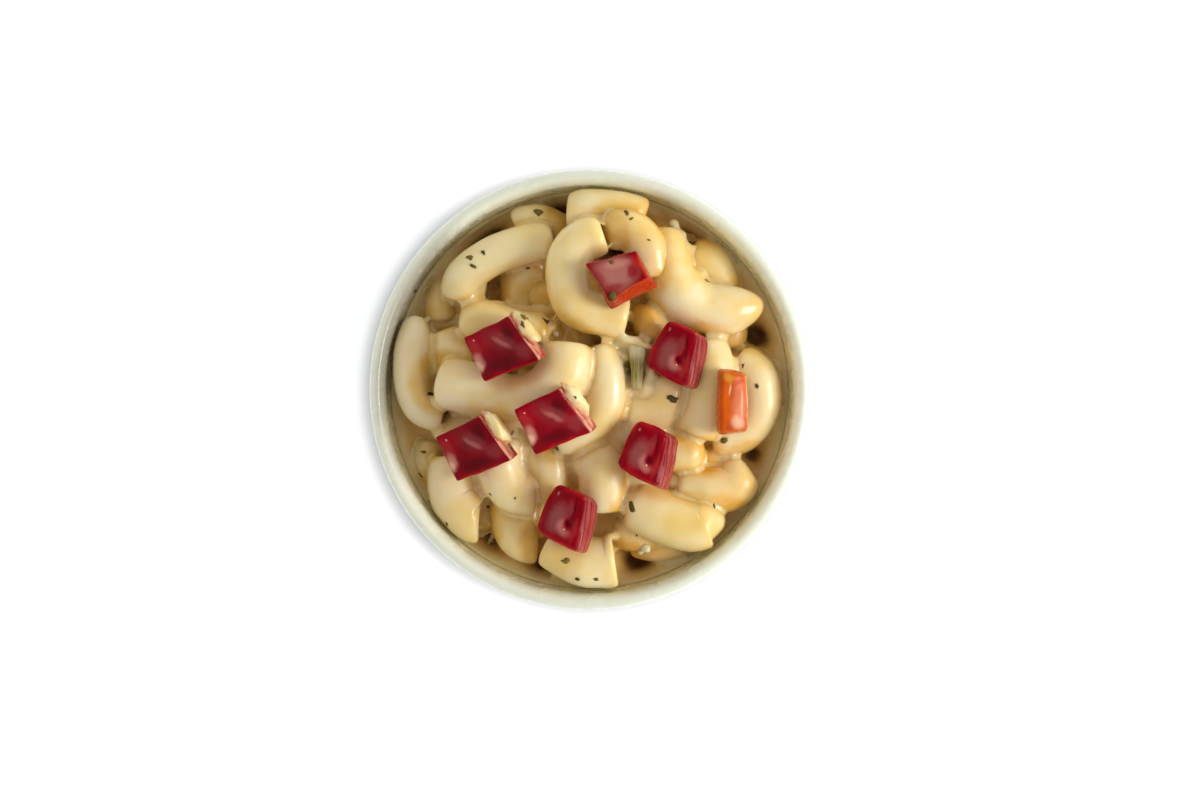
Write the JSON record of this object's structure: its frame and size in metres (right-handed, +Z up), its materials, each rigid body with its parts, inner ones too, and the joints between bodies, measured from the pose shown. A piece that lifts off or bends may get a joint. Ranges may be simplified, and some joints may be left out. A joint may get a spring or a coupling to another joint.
{
  "type": "bowl of pasta salad",
  "caption": "Small round white bowl heaped with dressed elbow macaroni, diced red pepper, a bit of celery and flecks of green herb.",
  "frame": {"origin": "middle of the bowl's foot, on the surface it stands on", "axes": "+Z up along the bowl's axis, +Y towards the top of the picture, +X towards its right"},
  "size_m": [0.08, 0.08, 0.0561],
  "materials": {
    "white_glaze": "smooth off-white glaze",
    "cooked_macaroni": "moist cooked pasta with a thin creamy dressing",
    "red_pepper": "wet deep red pepper, cut edges brighter",
    "orange_pepper": "wet orange-pink pepper flesh",
    "celery": "wet pale green, translucent"
  },
  "bodies": {
    "root": {"bowl": "white_glaze", "macaroni_heap": "cooked_macaroni", "pepper_1": "red_pepper", "pepper_2": "red_pepper", "pepper_3": "red_pepper", "pepper_4": "red_pepper", "pepper_5": "red_pepper", "pepper_6": "red_pepper", "pepper_7": "red_pepper", "pepper_8": "orange_pepper", "celery_bit": "celery"}
  },
  "joints": []
}
